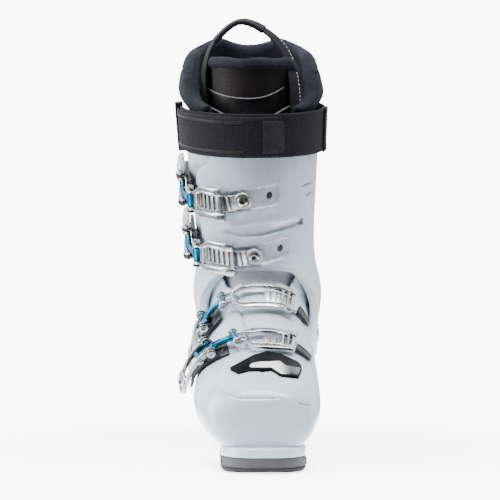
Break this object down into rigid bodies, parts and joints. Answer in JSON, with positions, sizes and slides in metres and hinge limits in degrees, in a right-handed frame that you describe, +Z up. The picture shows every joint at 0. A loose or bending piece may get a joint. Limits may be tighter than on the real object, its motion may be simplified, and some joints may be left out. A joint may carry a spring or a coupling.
{
  "type": "ski boot",
  "caption": "Alpine ski boot: two-piece hard shell with hinged cuff, over-centre buckles, wide top strap, padded liner with tongue and pull loop, flat binding soles.",
  "frame": {"origin": "centre of the heel pad's ground face, on the boot's centreline", "axes": "+Z up the leg, toe towards -Y, lateral (buckle lever) side towards -X: a right boot"},
  "size_m": [0.1327, 0.2892, 0.3796],
  "materials": {
    "shell_plastic": "smooth satin, pale cool grey",
    "gaiter_plastic": "dark glossy soft plastic",
    "sole_rubber": "matt mid grey",
    "board_plastic": "matt dark grey",
    "black_plastic": "satin black",
    "badge_chrome": "polished to brushed",
    "liner_vinyl": "soft synthetic leather, near black",
    "liner_fleece": "brushed fleece, navy",
    "webbing": "woven, near black",
    "blue_alloy": "anodised bright blue",
    "alloy": "cast and polished",
    "steel": "bright zinc"
  },
  "bodies": {
    "shell": {"lower_shell": "shell_plastic", "flex_gaiter": "gaiter_plastic", "toe_sole": "sole_rubber", "heel_sole": "sole_rubber", "boot_board": "board_plastic", "badge_frame": "black_plastic", "badge_plate": "badge_chrome", "liner_foot": "liner_vinyl", "pivot_rivet_lateral": "steel", "pivot_rivet_medial": "steel", "instep_base": "black_plastic", "instep_ladder": "alloy", "instep_ladder_strap": "black_plastic", "toe_base": "black_plastic", "toe_ladder": "alloy", "toe_ladder_strap": "black_plastic"},
    "cuff": {"cuff": "shell_plastic", "rear_spoiler": "black_plastic", "liner_cuff": "liner_fleece", "liner_tongue": "liner_vinyl", "tongue_loop": "webbing", "spine_screw_low": "steel", "spine_screw_high": "steel", "collar_base": "black_plastic", "collar_ladder": "alloy", "collar_ladder_screw": "steel", "shin_base": "black_plastic", "shin_ladder": "alloy", "shin_ladder_screw": "steel", "power_strap": "webbing", "strap_ring": "black_plastic"},
    "collar_lever": {"collar_lever": "alloy", "collar_lever_rivet_high": "steel", "collar_lever_rivet_low": "steel", "collar_link_pin": "steel"},
    "collar_link": {"collar_link": "blue_alloy", "collar_bail_pin": "steel"},
    "collar_bail": {"collar_bail": "alloy"},
    "shin_lever": {"shin_lever": "alloy", "shin_lever_rivet_high": "steel", "shin_lever_rivet_low": "steel", "shin_link_pin": "steel"},
    "shin_link": {"shin_link": "blue_alloy", "shin_bail_pin": "steel"},
    "shin_bail": {"shin_bail": "alloy"},
    "instep_lever": {"instep_lever": "alloy", "instep_lever_rivet_high": "steel", "instep_lever_rivet_low": "steel", "instep_link_pin": "steel"},
    "instep_link": {"instep_link": "blue_alloy", "instep_bail_pin": "steel"},
    "instep_bail": {"instep_bail": "alloy"},
    "toe_lever": {"toe_lever": "alloy", "toe_lever_rivet_high": "steel", "toe_lever_rivet_low": "steel", "toe_link_pin": "steel"},
    "toe_link": {"toe_link": "blue_alloy", "toe_bail_pin": "steel"},
    "toe_bail": {"toe_bail": "alloy"},
    "strap_flap": {"strap_flap": "webbing"}
  },
  "joints": [
    {"name": "cuff_flex", "type": "hinge", "parent": "shell", "child": "cuff", "pos_m": [0, -0.043, 0.105], "axis": [1, 0, 0], "range_deg": [0, 6], "stiffness_Nm_per_rad": 200},
    {"name": "collar_lever", "type": "hinge", "parent": "cuff", "child": "collar_lever", "pos_m": [-0.06762, -0.0711, 0.23389], "axis": [-0.0767, -0.4844, 0.8715], "range_deg": [0, 120]},
    {"name": "collar_link", "type": "hinge", "parent": "collar_lever", "child": "collar_link", "pos_m": [-0.06688, -0.06199, 0.23901], "axis": [0.0767, 0.4844, -0.8715], "range_deg": [0, 120]},
    {"name": "collar_bail", "type": "hinge", "parent": "collar_link", "child": "collar_bail", "pos_m": [-0.0599, -0.09083, 0.22359], "axis": [0.0767, 0.4844, -0.8715], "range_deg": [0, 35]},
    {"name": "shin_lever", "type": "hinge", "parent": "cuff", "child": "shin_lever", "pos_m": [-0.06273, -0.05908, 0.18646], "axis": [-0.0524, -0.4708, 0.8807], "range_deg": [0, 120]},
    {"name": "shin_link", "type": "hinge", "parent": "shin_lever", "child": "shin_link", "pos_m": [-0.06209, -0.04978, 0.19148], "axis": [0.0524, 0.4708, -0.8807], "range_deg": [0, 120]},
    {"name": "shin_bail", "type": "hinge", "parent": "shin_link", "child": "shin_bail", "pos_m": [-0.05453, -0.07911, 0.17625], "axis": [0.0524, 0.4708, -0.8807], "range_deg": [0, 35]},
    {"name": "instep_lever", "type": "hinge", "parent": "shell", "child": "instep_lever", "pos_m": [-0.0494, -0.11622, 0.11779], "axis": [-0.0704, 0.9337, 0.351], "range_deg": [0, 120]},
    {"name": "instep_link", "type": "hinge", "parent": "instep_lever", "child": "instep_link", "pos_m": [-0.05196, -0.11262, 0.10771], "axis": [0.0704, -0.9337, -0.351], "range_deg": [0, 120]},
    {"name": "instep_bail", "type": "hinge", "parent": "instep_link", "child": "instep_bail", "pos_m": [-0.03219, -0.12148, 0.13523], "axis": [0.0704, -0.9337, -0.351], "range_deg": [0, 35]},
    {"name": "toe_lever", "type": "hinge", "parent": "shell", "child": "toe_lever", "pos_m": [-0.04486, -0.1645, 0.09764], "axis": [-0.1604, 0.9362, 0.3128], "range_deg": [0, 120]},
    {"name": "toe_link", "type": "hinge", "parent": "toe_lever", "child": "toe_link", "pos_m": [-0.05258, -0.16297, 0.08908], "axis": [0.1604, -0.9362, -0.3128], "range_deg": [0, 120]},
    {"name": "toe_bail", "type": "hinge", "parent": "toe_link", "child": "toe_bail", "pos_m": [-0.02198, -0.16332, 0.10583], "axis": [0.1604, -0.9362, -0.3128], "range_deg": [0, 35]},
    {"name": "strap_peel", "type": "hinge", "parent": "cuff", "child": "strap_flap", "pos_m": [-0.07047, -0.07003, 0.28788], "axis": [0.0742, 0.2198, -0.9727], "range_deg": [0, 45]}
  ],
  "couplings": [
    {"joint": "collar_link", "follows": "collar_lever", "ratio": 1},
    {"joint": "shin_link", "follows": "shin_lever", "ratio": 1},
    {"joint": "instep_link", "follows": "instep_lever", "ratio": 1},
    {"joint": "toe_link", "follows": "toe_lever", "ratio": 1}
  ]
}
